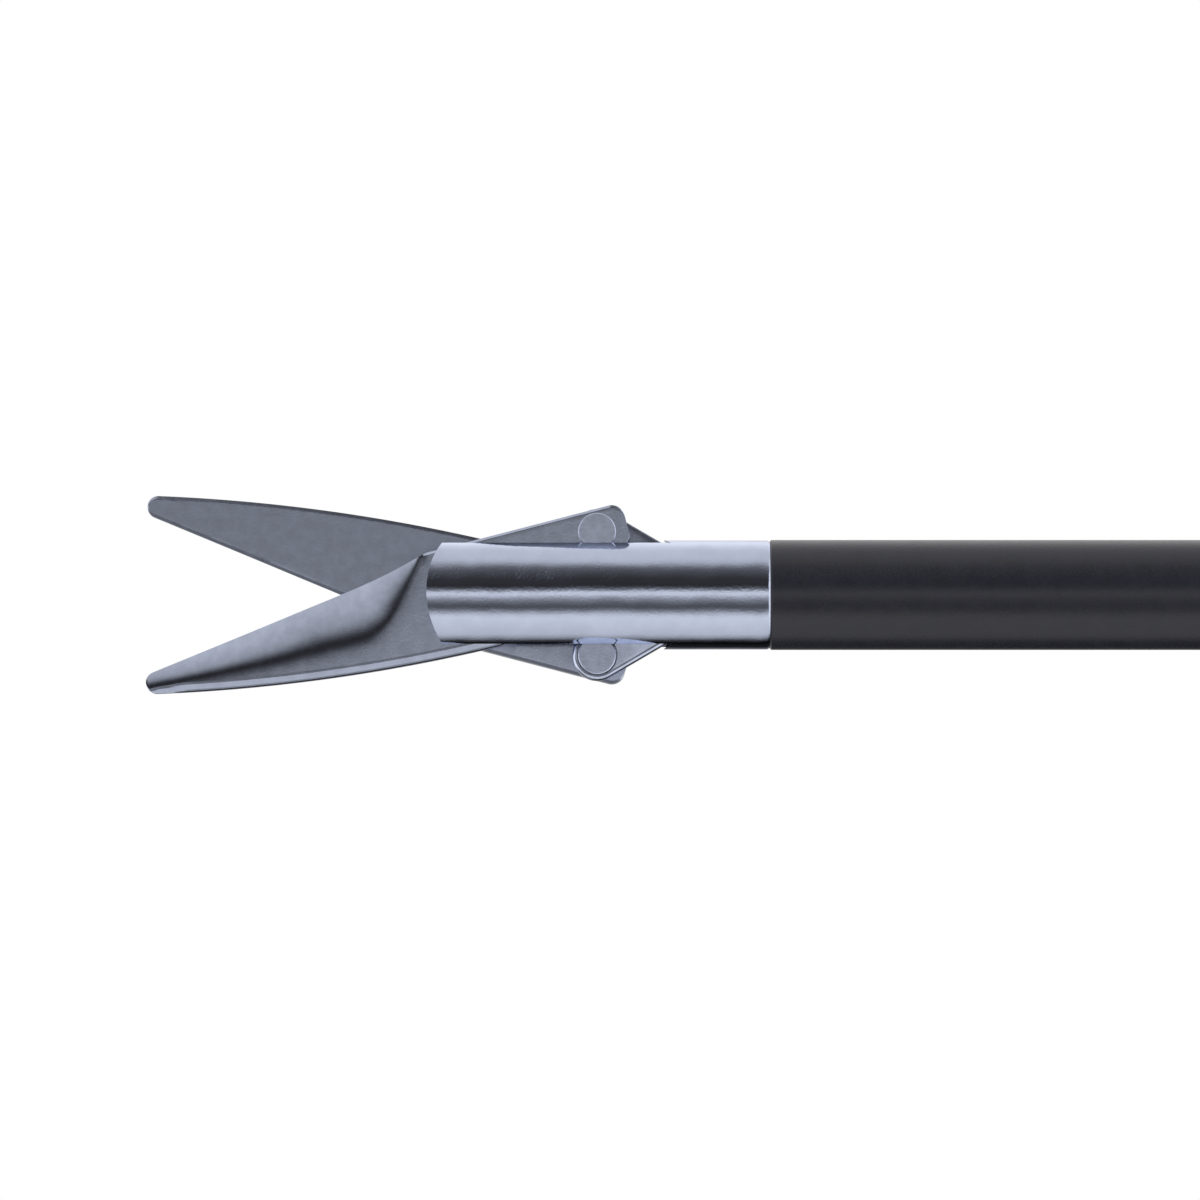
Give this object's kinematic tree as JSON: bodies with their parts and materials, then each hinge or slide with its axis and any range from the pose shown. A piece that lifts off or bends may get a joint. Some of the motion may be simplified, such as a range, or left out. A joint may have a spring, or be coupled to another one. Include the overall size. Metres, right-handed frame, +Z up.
{
  "type": "laparoscopic scissors",
  "caption": "Five millimetre laparoscopic scissors: double-action curved-spine blades driven by links from a rod in an insulated shaft, with rotation knob, flush port and ring handle.",
  "frame": {"origin": "on the shaft axis, at the front face of the flush hub, where the working length starts", "axes": "+X along the shaft from the jaws to the handle, +Z up, away from the finger ring, +Y the pivot axis of the jaws"},
  "size_m": [0.4478, 0.0234, 0.1233],
  "materials": {
    "blade_steel": "ground blade steel, satin flats and a brighter convex grind",
    "polished_steel": "polished stainless steel",
    "satin_steel": "satin stainless steel",
    "insulation": "smooth satin insulation",
    "black_plastic": "fine moulded grain",
    "grey_plastic": "fine moulded grain",
    "seal_rubber": "matt silicone",
    "white_polymer": "machined low-friction polymer",
    "bronze": "machined bearing bronze",
    "spring_steel": "rolled spring strip"
  },
  "bodies": {
    "handle": {"handle_shell_left": "black_plastic", "handle_shell_right": "black_plastic", "shell_screws": "satin_steel", "shell_nuts": "satin_steel", "neck_bush": "bronze", "lever_axle": "satin_steel", "axle_nut": "satin_steel", "travel_stop": "satin_steel", "cable_post": "polished_steel", "post_collar": "white_polymer", "contact_spring": "spring_steel"},
    "thumb_lever": {"lever_plate": "satin_steel", "thumb_grip": "black_plastic", "grip_rivets": "satin_steel"},
    "shaft": {"distal_clevis": "polished_steel", "jaw_pivot_pin": "polished_steel", "shaft_tube": "satin_steel", "insulation_sleeve": "insulation", "rod_guides": "white_polymer", "flush_hub": "black_plastic", "luer_port": "satin_steel", "tube_ferrule": "satin_steel", "rod_seal": "seal_rubber", "rotation_knob": "black_plastic", "knob_screws": "satin_steel", "retaining_clip": "satin_steel", "friction_ring": "seal_rubber"},
    "port_cap": {"luer_cap": "grey_plastic", "cap_gasket": "seal_rubber"},
    "rod": {"drive_rod": "satin_steel", "rod_yoke": "satin_steel", "yoke_pin": "polished_steel", "rod_ball": "polished_steel"},
    "upper_jaw": {"blade_rear": "blade_steel", "link_pin_rear": "polished_steel"},
    "lower_jaw": {"blade_front": "blade_steel", "link_pin_front": "polished_steel"},
    "upper_link": {"link_rear": "blade_steel"},
    "lower_link": {"link_front": "blade_steel"}
  },
  "joints": [
    {"name": "lever_swing", "type": "hinge", "parent": "handle", "child": "thumb_lever", "pos_m": [0.0664, 0, -0.005], "axis": [0, 1, 0], "range_deg": [0, 13.62]},
    {"name": "shaft_rotation", "type": "hinge", "parent": "handle", "child": "shaft", "pos_m": [0, 0, 0], "axis": [1, 0, 0], "continuous": true},
    {"name": "rod_slide", "type": "slide", "parent": "shaft", "child": "rod", "axis": [1, 0, 0], "range_m": [0, 0.00119]},
    {"name": "upper_jaw_swing", "type": "hinge", "parent": "shaft", "child": "upper_jaw", "pos_m": [-0.3141, 0, 0], "axis": [0, 1, 0], "range_deg": [-14.6, 0]},
    {"name": "lower_jaw_swing", "type": "hinge", "parent": "shaft", "child": "lower_jaw", "pos_m": [-0.3141, 0, 0], "axis": [0, 1, 0], "range_deg": [0, 14.6]},
    {"name": "upper_link_swing", "type": "hinge", "parent": "rod", "child": "upper_link", "pos_m": [-0.30433, 0, 0], "axis": [0, 1, 0], "range_deg": [-15.74, 0]},
    {"name": "lower_link_swing", "type": "hinge", "parent": "rod", "child": "lower_link", "pos_m": [-0.30433, 0, 0], "axis": [0, 1, 0], "range_deg": [0, 15.74]},
    {"name": "port_cap_off", "type": "slide", "parent": "shaft", "child": "port_cap", "axis": [0, 0, 1], "range_m": [0, 0.012]}
  ],
  "couplings": [
    {"joint": "rod_slide", "follows": "lever_swing", "m_per_rad": 0.0050236},
    {"joint": "upper_jaw_swing", "follows": "lever_swing", "ratio": -1.0718},
    {"joint": "lower_jaw_swing", "follows": "lever_swing", "ratio": 1.0718},
    {"joint": "upper_link_swing", "follows": "lever_swing", "ratio": -1.1557},
    {"joint": "lower_link_swing", "follows": "lever_swing", "ratio": 1.1557}
  ]
}
